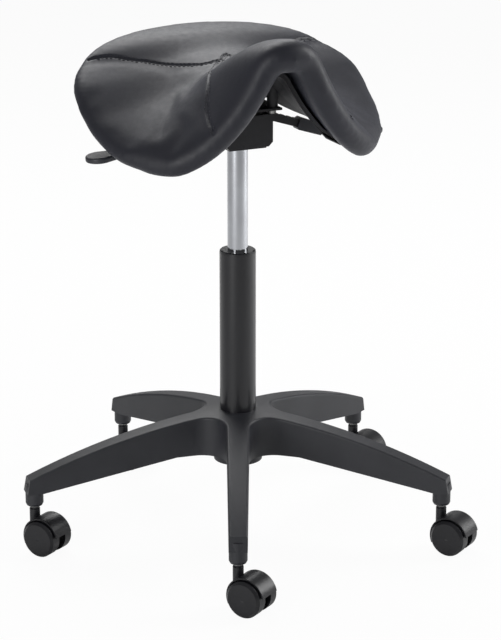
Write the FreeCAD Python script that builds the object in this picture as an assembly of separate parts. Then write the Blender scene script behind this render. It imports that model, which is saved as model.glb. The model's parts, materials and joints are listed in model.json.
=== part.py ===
import FreeCAD, Part
import math
import os

# Saddle stool: five-star castor base, gas lift column, tilting saddle seat.
# The origin is on the column axis at floor level, +Z is up, and the pommel points to -Y.
# Lengths are in millimetres and angles in degrees.

# Running clearances and small gaps
FIT = 0.08
FLAT_GAP = 0.3
SOFT_GAP = 0.3

# Five-star base
ARM_COUNT = 5
FRONT_ARM_ANGLE = 245.6
STEM_CIRCLE_R = 293.3
ARM_TIP_R = 305.4
ARM_TIP_TOP_R = 301.5
ARM_TIP_TOP_Z = 105.0
ARM_MID_R = 150.0
ARM_MID_TOP_Z = 153.5
HUB_TOP_R = 28.0
HUB_TOP_Z = 174.0
ARM_ROOT_HALF_WIDTH = 16.4
ARM_TAPER_DEG = 0.75
ARM_WEB_R = 34.0
ARM_EDGE_R = 3.0
ARM_WALL = 3.6
ARM_UNDER_ROOT_Z = 115.5
ARM_UNDER_BREAK_R = 95.0
ARM_UNDER_TIP_R = 284.0
ARM_UNDER_TIP_Z = 84.0
HUB_SLEEVE_R = 33.7
HUB_SLEEVE_BOTTOM_Z = 100.0
TIP_BOSS_R = 12.3
TIP_BOSS_BOTTOM_Z = 66.1
TIP_BOSS_CHAMFER = 1.6
RIB_THICKNESS = 2.4
RIB_RADII = (110.0, 155.0, 200.0, 245.0)

# Gas lift column
TUBE_R = 25.0
TUBE_WALL = 2.0
TUBE_FOOT_R = 23.3
TUBE_FOOT_Z = 101.0
TUBE_TAPER_TOP_Z = 165.0
TUBE_TOP_Z = 400.0
BUSH_LENGTH = 60.0
BUSH_RIM_R = 24.6
BUSH_RIM_HEIGHT = 3.2
BUSH_NOTCHES = 8
NOTCH_WIDTH = 3.0
NOTCH_DEPTH = 1.2
CYLINDER_R = 14.0
CYLINDER_WALL = 2.0
CYLINDER_BOTTOM_Z = 263.0
CYLINDER_TAPER_Z = 553.0
CYLINDER_TAPER_TOP_R = 13.0
CYLINDER_TOP_Z = 590.0
CYLINDER_HEAD = 36.0
ROD_R = 5.0
ROD_END_Z = 95.5
ROD_TOP_Z = 352.0
ROD_STUB_R = 3.5
ROD_COLLAR_R = 8.0
ROD_COLLAR_HEIGHT = 2.0
PISTON_HEIGHT = 10.0
END_PLATE_THICKNESS = 3.0
RACE_THICKNESS = 1.5
RACE_OUTER_R = 11.0
RACE_BORE_CLEARANCE = 0.6
ROLLER_R = 1.5
ROLLER_COUNT = 8
ROLLER_LENGTH = 3.6
ROLLER_CIRCLE_R = 8.4
CAGE_THICKNESS = 1.6
BUMP_R = 12.0
BUMP_HEIGHT = 8.0
CLIP_R = 8.5
CLIP_THICKNESS = 1.6
CLIP_GROOVE_DEPTH = 0.8
GUIDE_LIP = 3.0
GUIDE_HEIGHT = 12.0
PIN_R = 4.0
PIN_BORE_DEPTH = 14.0
PIN_SEAT_DEPTH = 5.0
PIN_STANDOUT = 6.5

# Castors
WHEEL_R = 25.0
WHEEL_WIDTH = 17.0
WHEEL_INNER_X = 7.0
WHEEL_EDGE_R = 3.5
WHEEL_RIM_WALL = 3.0
WHEEL_HUB_R = 6.5
WHEEL_FACE_R = 21.8
WHEEL_FACE_DEPTH = 0.6
CASTOR_TRAIL = 20.5
CASTOR_HEADING = -56.4
AXLE_R = 3.0
AXLE_LENGTH = 42.0
HOOD_GAP = 1.6
HOOD_THICKNESS = 1.8
HOOD_WIDTH = 34.0
HOOD_WEB = 11.0
HOOD_START_DEG = 12.0
HOOD_END_DEG = 205.0
NECK_R = 7.2
NECK_TOP_Z = 60.5
STEM_R = 5.5
STEM_COLLAR_R = 6.6
STEM_COLLAR_HEIGHT = 2.0
STEM_DEPTH = 28.0
SOCKET_R = 7.4
SOCKET_FLANGE_R = 8.8
SOCKET_FLANGE = 1.2
SOCKET_LENGTH = 30.0

# Tilt mechanism
HOUSING_HALF_WIDTH = 35.0
HOUSING_FRONT_Y = -38.0
HOUSING_REAR_Y = 66.0
HOUSING_BOTTOM_Z = 552.5
HOUSING_TOP_Z = 596.0
HOUSING_REAR_TOP_Z = 586.0
HOUSING_SLOPE_Y = 20.0
HOUSING_WALL = 2.5
HOUSING_CHAMFER = 6.0
HOUSING_LIP_HEIGHT = 2.5
HOUSING_LIP_INSET = 4.0
SOCKET_BOSS_R = 18.0
PIVOT_Y = -22.0
PIVOT_Z = 584.0
PIVOT_R = 5.0
PIVOT_HEAD_R = 7.5
PIVOT_HEAD = 2.0
PLATE_Z = 605.0
PLATE_THICKNESS = 3.0
PLATE_HALF_WIDTH = 40.0
PLATE_FRONT_Y = -56.0
PLATE_REAR_Y = 90.0
FLANGE_OUTER_X = 23.4
FLANGE_THICKNESS = 3.0
FLANGE_EAR_R = 9.0
FLANGE_REAR_Y = 44.0
FLANGE_BOTTOM_Z = 592.0
LEVER_WINDOW = 5.0
BOLT_X = 30.0
BOLT_FRONT_Y = -46.0
BOLT_REAR_Y = 78.0
BOLT_R = 3.0
BOLT_HOLE_CLEARANCE = 0.3
BOLT_HEAD_R = 5.0
BOLT_HEAD = 5.0
BOLT_REACH = 8.0
INSERT_R = 4.2
BOSS_R = 7.5
BOSS_TRIM = 24.0

# Levers
LEVER_PIVOT_X = 29.0
LEVER_PIVOT_Z = 591.0
LEVER_PIN_R = 2.5
LEVER_HALF_WIDTH = 6.0
LEVER_DROOP = 18.0
LEVER_HUB_R = 5.2
LEVER_NOTCH_Z = 577.0
LEVER_LUG_WIDTH = 3.0
LEVER_LUG_INNER_X = 26.3
ARM_LENGTH = 62.0
ARM_THICKNESS = 11.0
ARM_RIB_PITCH = 5.0
ARM_RIB_DEPTH = 1.4
FINGER_THICKNESS = 5.0
FINGER_TIP_X = 4.0
CAM_R = 4.0
GRIP_LENGTH = 40.0
GRIP_THICKNESS = 17.0
GRIP_HALF_WIDTH = 8.5
GRIP_LIP = 2.5
NECK_THICKNESS = 9.0
PADDLE_START_X = 158.0
PADDLE_CENTRE_X = 199.0
PADDLE_HALF_WIDTH = 19.0
PADDLE_THICKNESS = 8.0
PADDLE_Z = 552.0
PADDLE_DROOP = 5.0

# Saddle seat
# Each section across the seat is listed from front to rear. Its values are the distance Y, the
# height of the crown, half of the width, the height at that width, the crown's radius and the
# slope there in degrees. The seat's plan is an oval that trims the sections.
SADDLE_SECTIONS = (
    (-165.0, 724.0, 137.0, 557.0, 49.0, 47.0),
    (-110.0, 712.0, 145.0, 573.0, 68.0, 38.0),
    (-55.0, 688.0, 187.0, 576.0, 90.0, 21.0),
    (0.0, 661.0, 207.0, 598.0, 125.0, 8.0),
    (60.0, 668.0, 193.0, 637.0, 250.0, 6.0),
    (115.0, 685.0, 172.0, 662.0, 720.0, 4.0),
    (168.0, 690.0, 126.0, 682.0, 1200.0, 2.0),
)
PLAN_HALF_WIDTH = 213.0
PLAN_CENTRE_Y = 34.0
PLAN_FRONT = 210.0
PLAN_REAR = 135.0
PLAN_FRONT_POWER = 2.3
PLAN_REAR_POWER = 2.2
FRONT_EDGE_THICKNESS = 36.0
SIDE_EDGE_THICKNESS = 24.0
SIDE_EDGE_Y = -25.0
SIDE_EDGE_RAMP = 60.0
MIDDLE_THICKNESS = 36.0
POMMEL_EXTRA = 9.0
POMMEL_START_Y = -80.0
POMMEL_RAMP = 60.0
FRONT_NOSE_HALF_WIDTH = 68.0
REAR_NOSE_HALF_WIDTH = 92.0
ROLL_ANGLES = (62.0, 32.0)
CROWN_SHARE = 0.6
SHELL_GAP = 0.9
SHELL_THICKNESS = 4.0
SHELL_INSET = 34.0
COVER_GAP = 0.5
COVER_THICKNESS = 1.5
COVER_MARGIN = 8.0
SPAN_STEPS = 9


def vec(x, y, z):
    return FreeCAD.Vector(x, y, z)


def polygon_face(points):
    return Part.Face(Part.makePolygon(points + [points[0]]))


def box(x0, y0, z0, x1, y1, z1):
    return Part.makeBox(x1 - x0, y1 - y0, z1 - z0, vec(x0, y0, z0))


def disc(radius, z0, z1, x=0.0, y=0.0):
    return Part.makeCylinder(radius, z1 - z0, vec(x, y, z0))


def ring(outer, inner, z0, z1):
    return disc(outer, z0, z1).cut(disc(inner, z0, z1))


def turned(points):
    """A body of revolution about Z from (radius, height) points."""
    face = polygon_face([vec(r, 0, z) for r, z in points])
    return face.revolve(vec(0, 0, 0), vec(0, 0, 1), 360)


def bar_x(radius, x0, x1, y, z):
    return Part.makeCylinder(radius, x1 - x0, vec(x0, y, z), vec(1, 0, 0))


def bar_y(radius, y0, y1, x, z):
    return Part.makeCylinder(radius, y1 - y0, vec(x, y0, z), vec(0, 1, 0))


def spun(shape, angle):
    copy = shape.copy()
    copy.rotate(vec(0, 0, 0), vec(0, 0, 1), angle)
    return copy


def mirrored_x(shape):
    return shape.mirror(vec(0, 0, 0), vec(1, 0, 0))


def export(name, shape):
    shape.exportStep("parts/%s.step" % name)
    print(name, len(shape.Solids), round(shape.Volume, 1), shape.isValid())


def polar(radius, angle_deg, z=0.0):
    angle = math.radians(angle_deg)
    return vec(radius * math.cos(angle), radius * math.sin(angle), z)


# Five-star base


def star_face(half_width, web_r, reach):
    """Plan of the star: straight tapering arms joined by round webs."""
    step = 360.0 / ARM_COUNT
    half = math.radians(step / 2)
    taper = math.radians(ARM_TAPER_DEG)
    centre_r = (web_r / math.cos(taper) + half_width) / (
        math.sin(half) + math.tan(taper) * math.cos(half)
    )
    touch_x = centre_r * math.cos(half) - web_r * math.sin(taper)
    touch_y = half_width - math.tan(taper) * touch_x
    tip_y = half_width - math.tan(taper) * reach
    edges = []
    for i in range(ARM_COUNT):
        turn = i * step
        tip_low = spun(Part.Vertex(reach, -tip_y, 0), turn).Point
        tip_high = spun(Part.Vertex(reach, tip_y, 0), turn).Point
        touch_low = spun(Part.Vertex(touch_x, -touch_y, 0), turn).Point
        touch_high = spun(Part.Vertex(touch_x, touch_y, 0), turn).Point
        touch_next = spun(Part.Vertex(touch_x, -touch_y, 0), turn + step).Point
        web_mid = polar(centre_r - web_r, turn + step / 2)
        edges.append(Part.LineSegment(touch_low, tip_low).toShape())
        edges.append(Part.LineSegment(tip_low, tip_high).toShape())
        edges.append(Part.LineSegment(tip_high, touch_high).toShape())
        edges.append(Part.Arc(touch_high, web_mid, touch_next).toShape())
    return Part.Face(Part.Wire(edges))


def arm_envelope(drop, reach_cut, foot):
    """The height of the star turned about the column; drop lowers the top by one wall."""
    hub = vec(HUB_TOP_R, 0, HUB_TOP_Z - drop)
    mid = vec(ARM_MID_R, 0, ARM_MID_TOP_Z - drop)
    tip = vec(ARM_TIP_TOP_R - reach_cut, 0, ARM_TIP_TOP_Z - drop)
    axis_top = vec(0, 0, HUB_TOP_Z - drop)
    outer = vec(ARM_TIP_R - reach_cut, 0, ARM_UNDER_TIP_Z - foot)
    under = vec(ARM_UNDER_TIP_R - reach_cut, 0, ARM_UNDER_TIP_Z - foot)
    under_break = vec(ARM_UNDER_BREAK_R, 0, ARM_UNDER_ROOT_Z - foot)
    axis_low = vec(0, 0, ARM_UNDER_ROOT_Z - foot)
    edges = [
        Part.LineSegment(axis_top, hub).toShape(),
        Part.Arc(hub, mid, tip).toShape(),
        Part.LineSegment(tip, outer).toShape(),
        Part.LineSegment(outer, under).toShape(),
        Part.LineSegment(under, under_break).toShape(),
        Part.LineSegment(under_break, axis_low).toShape(),
        Part.LineSegment(axis_low, axis_top).toShape(),
    ]
    face = Part.Face(Part.Wire(edges))
    body = face.revolve(vec(0, 0, 0), vec(0, 0, 1), 360)
    return spun(body, 180.0 / ARM_COUNT)


def tube_outer_r(z):
    share = min(1.0, max(0.0, (z - TUBE_FOOT_Z) / (TUBE_TAPER_TOP_Z - TUBE_FOOT_Z)))
    return TUBE_FOOT_R + (TUBE_R - TUBE_FOOT_R) * share


def tube_inner_r(z):
    return tube_outer_r(z) - TUBE_WALL


def star_top_edges(solid):
    """The edges where the top surface meets the upright sides of the arms."""
    found = []
    for edge in solid.Edges:
        ends = edge.BoundBox
        middle = edge.valueAt((edge.FirstParameter + edge.LastParameter) / 2)
        upright = max(ends.XLength, ends.YLength) < FIT
        on_top = ends.ZMax > ARM_MID_TOP_Z
        inside_hub = math.hypot(middle.x, middle.y) < HUB_TOP_R + ARM_WEB_R / 2
        if on_top and not upright and not inside_hub:
            found.append(edge)
    return found


def make_star_base():
    height = HUB_TOP_Z + ARM_EDGE_R
    plan = star_face(ARM_ROOT_HALF_WIDTH, ARM_WEB_R, ARM_TIP_R + ARM_EDGE_R)
    star = plan.extrude(vec(0, 0, height)).common(arm_envelope(0, 0, 0))
    star = star.makeFillet(ARM_EDGE_R, star_top_edges(star))
    hollow_plan = star_face(
        ARM_ROOT_HALF_WIDTH - ARM_WALL, ARM_WEB_R + ARM_WALL, ARM_TIP_R
    )
    hollow = hollow_plan.extrude(vec(0, 0, height))
    reach_cut = ARM_TIP_R - STEM_CIRCLE_R + TIP_BOSS_R
    hollow = hollow.common(arm_envelope(ARM_WALL, reach_cut, ARM_WALL))
    hollow = hollow.cut(disc(HUB_SLEEVE_R, 0, height))
    rib_half = ARM_ROOT_HALF_WIDTH
    for i in range(ARM_COUNT):
        for radius in RIB_RADII:
            rib = box(
                radius, -rib_half, ARM_WALL, radius + RIB_THICKNESS, rib_half, height
            )
            low = arm_floor_z(radius) + ARM_WALL
            rib = rib.cut(box(radius, -rib_half, 0, radius + RIB_THICKNESS, rib_half, low))
            hollow = hollow.cut(spun(rib, i * 360.0 / ARM_COUNT))
    star = star.cut(hollow)
    sleeve = disc(HUB_SLEEVE_R, HUB_SLEEVE_BOTTOM_Z, ARM_UNDER_ROOT_Z + ARM_WALL)
    star = star.fuse(sleeve)
    boss_top = ARM_UNDER_TIP_Z + TIP_BOSS_R
    boss = turned(
        [
            (0, TIP_BOSS_BOTTOM_Z),
            (TIP_BOSS_R - TIP_BOSS_CHAMFER, TIP_BOSS_BOTTOM_Z),
            (TIP_BOSS_R, TIP_BOSS_BOTTOM_Z + 2 * TIP_BOSS_CHAMFER),
            (TIP_BOSS_R, boss_top),
            (0, boss_top),
        ]
    )
    boss.translate(vec(STEM_CIRCLE_R, 0, 0))
    socket = disc(SOCKET_R, 0, TIP_BOSS_BOTTOM_Z + SOCKET_LENGTH, STEM_CIRCLE_R)
    for i in range(ARM_COUNT):
        star = star.fuse(spun(boss, i * 360.0 / ARM_COUNT))
    for i in range(ARM_COUNT):
        star = star.cut(spun(socket, i * 360.0 / ARM_COUNT))
    bore = turned(
        [
            (0, 0),
            (TUBE_FOOT_R, 0),
            (TUBE_FOOT_R, TUBE_FOOT_Z),
            (TUBE_R, TUBE_TAPER_TOP_Z),
            (TUBE_R, height),
            (0, height),
        ]
    )
    star = star.cut(bore).removeSplitter()
    return spun(star, FRONT_ARM_ANGLE)


def arm_floor_z(radius):
    share = (radius - ARM_UNDER_BREAK_R) / (ARM_UNDER_TIP_R - ARM_UNDER_BREAK_R)
    return ARM_UNDER_ROOT_Z + max(0.0, share) * (ARM_UNDER_TIP_Z - ARM_UNDER_ROOT_Z)


def stem_places():
    step = 360.0 / ARM_COUNT
    return [polar(STEM_CIRCLE_R, FRONT_ARM_ANGLE + i * step) for i in range(ARM_COUNT)]


def make_castor_sockets():
    bottom = TIP_BOSS_BOTTOM_Z - SOCKET_FLANGE
    top = TIP_BOSS_BOTTOM_Z + SOCKET_LENGTH
    sleeve = disc(SOCKET_FLANGE_R, bottom, TIP_BOSS_BOTTOM_Z)
    sleeve = sleeve.fuse(disc(SOCKET_R, TIP_BOSS_BOTTOM_Z, top))
    sleeve = sleeve.cut(disc(STEM_R + FIT, bottom, top)).removeSplitter()
    sockets = []
    for place in stem_places():
        copy = sleeve.copy()
        copy.translate(place)
        sockets.append(copy)
    return Part.makeCompound(sockets)


# Gas lift column


def make_outer_tube():
    return turned(
        [
            (tube_inner_r(TUBE_FOOT_Z), TUBE_FOOT_Z),
            (TUBE_FOOT_R, TUBE_FOOT_Z),
            (TUBE_R, TUBE_TAPER_TOP_Z),
            (TUBE_R, TUBE_TOP_Z),
            (TUBE_R - TUBE_WALL, TUBE_TOP_Z),
            (TUBE_R - TUBE_WALL, TUBE_TAPER_TOP_Z),
        ]
    )


def make_guide_bush():
    inside = CYLINDER_R + FIT
    rim_top = TUBE_TOP_Z + BUSH_RIM_HEIGHT
    bush = turned(
        [
            (inside, TUBE_TOP_Z - BUSH_LENGTH),
            (TUBE_R - TUBE_WALL, TUBE_TOP_Z - BUSH_LENGTH),
            (TUBE_R - TUBE_WALL, TUBE_TOP_Z),
            (BUSH_RIM_R, TUBE_TOP_Z),
            (BUSH_RIM_R, rim_top - NOTCH_DEPTH),
            (BUSH_RIM_R - NOTCH_DEPTH, rim_top),
            (inside, rim_top),
        ]
    )
    notch = box(
        BUSH_RIM_R - NOTCH_WIDTH,
        -NOTCH_WIDTH / 2,
        rim_top - NOTCH_DEPTH,
        BUSH_RIM_R,
        NOTCH_WIDTH / 2,
        rim_top,
    )
    for i in range(BUSH_NOTCHES):
        bush = bush.cut(spun(notch, i * 360.0 / BUSH_NOTCHES))
    return bush


def end_plate_top_z():
    return TUBE_FOOT_Z + END_PLATE_THICKNESS


def make_tube_end_plate():
    top = end_plate_top_z()
    return turned(
        [
            (ROD_R + FIT, TUBE_FOOT_Z),
            (tube_inner_r(TUBE_FOOT_Z), TUBE_FOOT_Z),
            (tube_inner_r(top), top),
            (ROD_R + FIT, top),
        ]
    )


def bearing_heights():
    """Undersides of the lower race, the rollers and the upper race, and its top."""
    low = end_plate_top_z()
    rollers = low + RACE_THICKNESS
    upper = rollers + 2 * ROLLER_R + 2 * FIT
    return low, rollers, upper, upper + RACE_THICKNESS


def make_lower_race():
    low, rollers, upper, top = bearing_heights()
    return ring(RACE_OUTER_R, ROD_R + RACE_BORE_CLEARANCE, low, rollers)


def make_upper_race():
    low, rollers, upper, top = bearing_heights()
    return ring(RACE_OUTER_R, ROD_R, upper, top)


def make_roller_cage():
    low, rollers, upper, top = bearing_heights()
    middle = (rollers + upper) / 2
    half = CAGE_THICKNESS / 2
    cage = ring(RACE_OUTER_R, ROD_R + RACE_BORE_CLEARANCE, middle - half, middle + half)
    start = ROLLER_CIRCLE_R - ROLLER_LENGTH / 2
    roller = bar_x(ROLLER_R, start, start + ROLLER_LENGTH, 0, middle)
    for i in range(ROLLER_COUNT):
        cage = cage.fuse(spun(roller, i * 360.0 / ROLLER_COUNT))
    return cage


def make_piston_rod():
    low, rollers, upper, top = bearing_heights()
    groove_top = TUBE_FOOT_Z - FLAT_GAP
    groove_low = groove_top - CLIP_THICKNESS
    groove_r = ROD_R - CLIP_GROOVE_DEPTH
    return turned(
        [
            (0, ROD_END_Z),
            (groove_r, ROD_END_Z),
            (ROD_R, ROD_END_Z + CLIP_GROOVE_DEPTH),
            (ROD_R, groove_low),
            (groove_r, groove_low),
            (groove_r, groove_top),
            (ROD_R, groove_top),
            (ROD_R, top),
            (ROD_COLLAR_R, top),
            (ROD_COLLAR_R, top + ROD_COLLAR_HEIGHT),
            (ROD_R, top + ROD_COLLAR_HEIGHT),
            (ROD_R, ROD_TOP_Z),
            (ROD_STUB_R, ROD_TOP_Z),
            (ROD_STUB_R, ROD_TOP_Z + PISTON_HEIGHT),
            (0, ROD_TOP_Z + PISTON_HEIGHT),
        ]
    )


def make_retaining_clip():
    top = TUBE_FOOT_Z - FLAT_GAP
    groove_r = ROD_R - CLIP_GROOVE_DEPTH
    clip = ring(CLIP_R, groove_r, top - CLIP_THICKNESS, top)
    mouth = box(0, -groove_r, top - CLIP_THICKNESS, CLIP_R, groove_r, top)
    return clip.cut(mouth)


def make_bump_stop():
    low, rollers, upper, top = bearing_heights()
    base = top + ROD_COLLAR_HEIGHT
    edge = BUMP_HEIGHT / 4
    return turned(
        [
            (ROD_R, base),
            (BUMP_R, base),
            (BUMP_R, base + BUMP_HEIGHT - edge),
            (BUMP_R - edge, base + BUMP_HEIGHT),
            (ROD_R, base + BUMP_HEIGHT),
        ]
    )


def make_gas_piston():
    bore = CYLINDER_R - CYLINDER_WALL
    return ring(bore - FIT, ROD_STUB_R, ROD_TOP_Z, ROD_TOP_Z + PISTON_HEIGHT)


def make_gas_cylinder():
    bore = CYLINDER_R - CYLINDER_WALL
    pin_bore = PIN_R + FIT
    inside_top = CYLINDER_TOP_Z - CYLINDER_HEAD
    return turned(
        [
            (bore - GUIDE_LIP, CYLINDER_BOTTOM_Z),
            (CYLINDER_R, CYLINDER_BOTTOM_Z),
            (CYLINDER_R, CYLINDER_TAPER_Z),
            (CYLINDER_TAPER_TOP_R, CYLINDER_TOP_Z),
            (pin_bore, CYLINDER_TOP_Z),
            (pin_bore, CYLINDER_TOP_Z - PIN_BORE_DEPTH),
            (0, CYLINDER_TOP_Z - PIN_BORE_DEPTH),
            (0, inside_top),
            (bore, inside_top),
            (bore, CYLINDER_BOTTOM_Z + GUIDE_LIP),
            (bore - GUIDE_LIP, CYLINDER_BOTTOM_Z + GUIDE_LIP),
        ]
    )


def make_rod_guide():
    bore = CYLINDER_R - CYLINDER_WALL
    low = CYLINDER_BOTTOM_Z + GUIDE_LIP
    return ring(bore, ROD_R + FIT, low, low + GUIDE_HEIGHT)


def make_release_pin():
    low = CYLINDER_TOP_Z - PIN_BORE_DEPTH + PIN_SEAT_DEPTH
    top = CYLINDER_TOP_Z + PIN_STANDOUT
    pin = disc(PIN_R, low, top - PIN_R / 2)
    return pin.fuse(pin_dome(top)).removeSplitter()


def pin_dome(top):
    """The shallow dome on the pin; its sphere passes through the pin's rim."""
    rise = PIN_R / 2
    sphere_r = (PIN_R * PIN_R + rise * rise) / (2 * rise)
    sphere = Part.makeSphere(sphere_r, vec(0, 0, top - sphere_r))
    return sphere.common(disc(PIN_R, top - rise, top))


# Castors, built with the stem on the Z axis and the wheels trailing towards +X


def wheel_profile():
    """Half section of the right wheel as (radius, distance from the middle)."""
    inner = WHEEL_INNER_X
    outer = inner + WHEEL_WIDTH
    web = outer - 2 * WHEEL_EDGE_R
    return [
        (AXLE_R + FIT, inner),
        (WHEEL_HUB_R, inner),
        (WHEEL_HUB_R, web),
        (WHEEL_R - WHEEL_RIM_WALL, web),
        (WHEEL_R - WHEEL_RIM_WALL, inner),
        (WHEEL_R, inner),
        (WHEEL_R, outer - WHEEL_EDGE_R),
        (WHEEL_FACE_R, outer),
        (0, outer - WHEEL_FACE_DEPTH),
        (0, AXLE_LENGTH / 2 + FLAT_GAP),
        (AXLE_R + FIT, AXLE_LENGTH / 2 + FLAT_GAP),
    ]


def castor_frame(shape, place):
    """Turns a piece from the wheel's own frame and sets it under its stem."""
    copy = shape.copy()
    copy.rotate(vec(0, 0, 0), vec(0, 0, 1), CASTOR_HEADING)
    copy.translate(place)
    return copy


def make_wheel(side):
    points = [vec(r, side * d, 0) for r, d in wheel_profile()]
    wheel = polygon_face(points).revolve(vec(0, 0, 0), vec(0, 1, 0), 360)
    wheel.translate(vec(CASTOR_TRAIL, 0, WHEEL_R))
    return wheel


def make_axle():
    half = AXLE_LENGTH / 2
    return bar_y(AXLE_R, -half, half, CASTOR_TRAIL, WHEEL_R)


def sector_solid(radius, half_width, start, end):
    """A wedge of a cylinder about the axle, from one angle to another in the XZ plane."""
    first = vec(math.cos(math.radians(start)), 0, math.sin(math.radians(start))) * radius
    half = math.radians((start + end) / 2)
    middle = vec(math.cos(half), 0, math.sin(half)) * radius
    last = vec(math.cos(math.radians(end)), 0, math.sin(math.radians(end))) * radius
    origin = vec(0, 0, 0)
    edges = [
        Part.LineSegment(origin, first).toShape(),
        Part.Arc(first, middle, last).toShape(),
        Part.LineSegment(last, origin).toShape(),
    ]
    face = Part.Face(Part.Wire(edges))
    face.translate(vec(0, -half_width, 0))
    return face.extrude(vec(0, 2 * half_width, 0))


def make_hood():
    inner_r = WHEEL_R + HOOD_GAP
    outer_r = inner_r + HOOD_THICKNESS
    web_half = HOOD_WEB / 2
    hub_r = WHEEL_HUB_R + HOOD_THICKNESS
    hood = sector_solid(outer_r, HOOD_WIDTH / 2, HOOD_START_DEG, HOOD_END_DEG)
    hood = hood.fuse(bar_y(hub_r, -web_half, web_half, 0, 0))
    hood.translate(vec(CASTOR_TRAIL, 0, WHEEL_R))
    hood = hood.fuse(disc(NECK_R, WHEEL_R, NECK_TOP_Z))
    hood = hood.cut(bar_y(inner_r, web_half, HOOD_WIDTH, CASTOR_TRAIL, WHEEL_R))
    hood = hood.cut(bar_y(inner_r, -HOOD_WIDTH, -web_half, CASTOR_TRAIL, WHEEL_R))
    hood = hood.cut(disc(STEM_R, NECK_TOP_Z - STEM_DEPTH, NECK_TOP_Z))
    return hood.cut(make_axle())


def make_stem():
    low = NECK_TOP_Z - STEM_DEPTH
    collar_top = TIP_BOSS_BOTTOM_Z - SOCKET_FLANGE - FLAT_GAP
    collar_low = collar_top - STEM_COLLAR_HEIGHT
    top = TIP_BOSS_BOTTOM_Z + SOCKET_LENGTH - FLAT_GAP
    edge = STEM_R / 4
    return turned(
        [
            (0, low),
            (STEM_R, low),
            (STEM_R, collar_low),
            (STEM_COLLAR_R, collar_low),
            (STEM_COLLAR_R, collar_top),
            (STEM_R, collar_top),
            (STEM_R, top - edge),
            (STEM_R - edge, top),
            (0, top),
        ]
    )


# Tilt mechanism


def housing_block(inset):
    """The housing's outer form, or its inside when inset by the wall."""
    half = HOUSING_HALF_WIDTH - inset
    low = HOUSING_BOTTOM_Z + inset
    chamfer = HOUSING_CHAMFER - inset / 2
    front = [
        vec(-half, 0, HOUSING_TOP_Z),
        vec(-half, 0, low + chamfer),
        vec(-half + chamfer, 0, low),
        vec(half - chamfer, 0, low),
        vec(half, 0, low + chamfer),
        vec(half, 0, HOUSING_TOP_Z),
    ]
    block = polygon_face(front)
    block.translate(vec(0, HOUSING_FRONT_Y + inset, 0))
    length = HOUSING_REAR_Y - HOUSING_FRONT_Y - 2 * inset
    return block.extrude(vec(0, length, 0))


def make_mechanism_housing():
    housing = housing_block(0).cut(housing_block(HOUSING_WALL))
    lip_half = HOUSING_HALF_WIDTH - HOUSING_CHAMFER - HOUSING_LIP_INSET / 2
    lip = box(
        -lip_half,
        HOUSING_FRONT_Y + HOUSING_LIP_INSET,
        HOUSING_BOTTOM_Z - HOUSING_LIP_HEIGHT,
        lip_half,
        HOUSING_REAR_Y - HOUSING_LIP_INSET,
        HOUSING_BOTTOM_Z + HOUSING_WALL,
    )
    boss = disc(SOCKET_BOSS_R, HOUSING_BOTTOM_Z, CYLINDER_TOP_Z - 2 * FLAT_GAP)
    housing = housing.fuse(lip).fuse(boss)
    slope = polygon_face(
        [
            vec(-HOUSING_HALF_WIDTH, HOUSING_SLOPE_Y, HOUSING_TOP_Z),
            vec(-HOUSING_HALF_WIDTH, HOUSING_REAR_Y, HOUSING_REAR_TOP_Z),
            vec(-HOUSING_HALF_WIDTH, HOUSING_REAR_Y, HOUSING_TOP_Z),
        ]
    ).extrude(vec(2 * HOUSING_HALF_WIDTH, 0, 0))
    housing = housing.cut(slope)
    notch = LEVER_HALF_WIDTH + FLAT_GAP
    wide = HOUSING_HALF_WIDTH
    for side in (-1, 1):
        outer = side * wide
        inner = side * (wide - HOUSING_WALL)
        low_x = min(outer, inner)
        high_x = max(outer, inner)
        housing = housing.cut(box(low_x, -notch, LEVER_NOTCH_Z, high_x, notch, HOUSING_TOP_Z))
        housing = housing.fuse(lever_lugs(side))
    taper = turned(
        [
            (0, HOUSING_BOTTOM_Z - HOUSING_LIP_HEIGHT),
            (CYLINDER_R, HOUSING_BOTTOM_Z - HOUSING_LIP_HEIGHT),
            (CYLINDER_R, CYLINDER_TAPER_Z),
            (CYLINDER_TAPER_TOP_R, CYLINDER_TOP_Z),
            (0, CYLINDER_TOP_Z),
        ]
    )
    housing = housing.cut(taper)
    housing = housing.cut(bar_x(PIVOT_R, -wide, wide, PIVOT_Y, PIVOT_Z))
    return housing.removeSplitter()


def lever_lugs(side):
    """Two lugs inside a side wall that hold one lever's pin."""
    start = LEVER_HALF_WIDTH + FLAT_GAP
    lugs = []
    for direction in (-1, 1):
        y0 = direction * start
        y1 = direction * (start + LEVER_LUG_WIDTH)
        x0 = side * LEVER_LUG_INNER_X
        x1 = side * (HOUSING_HALF_WIDTH - HOUSING_WALL)
        lug = box(
            min(x0, x1),
            min(y0, y1),
            LEVER_NOTCH_Z,
            max(x0, x1),
            max(y0, y1),
            HOUSING_TOP_Z,
        )
        lugs.append(lug)
    pin = bar_y(LEVER_PIN_R, -wide_of_lugs(), wide_of_lugs(), side * LEVER_PIVOT_X, LEVER_PIVOT_Z)
    return lugs[0].fuse(lugs[1]).cut(pin)


def wide_of_lugs():
    return LEVER_HALF_WIDTH + FLAT_GAP + LEVER_LUG_WIDTH


def make_lever_pin(side):
    return bar_y(
        LEVER_PIN_R, -wide_of_lugs(), wide_of_lugs(), side * LEVER_PIVOT_X, LEVER_PIVOT_Z
    )


def make_pivot_pin():
    wide = HOUSING_HALF_WIDTH
    pin = bar_x(PIVOT_R, -wide, wide, PIVOT_Y, PIVOT_Z)
    for x in (-wide - PIVOT_HEAD, wide):
        pin = pin.fuse(bar_x(PIVOT_HEAD_R, x, x + PIVOT_HEAD, PIVOT_Y, PIVOT_Z))
    return pin.removeSplitter()


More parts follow.
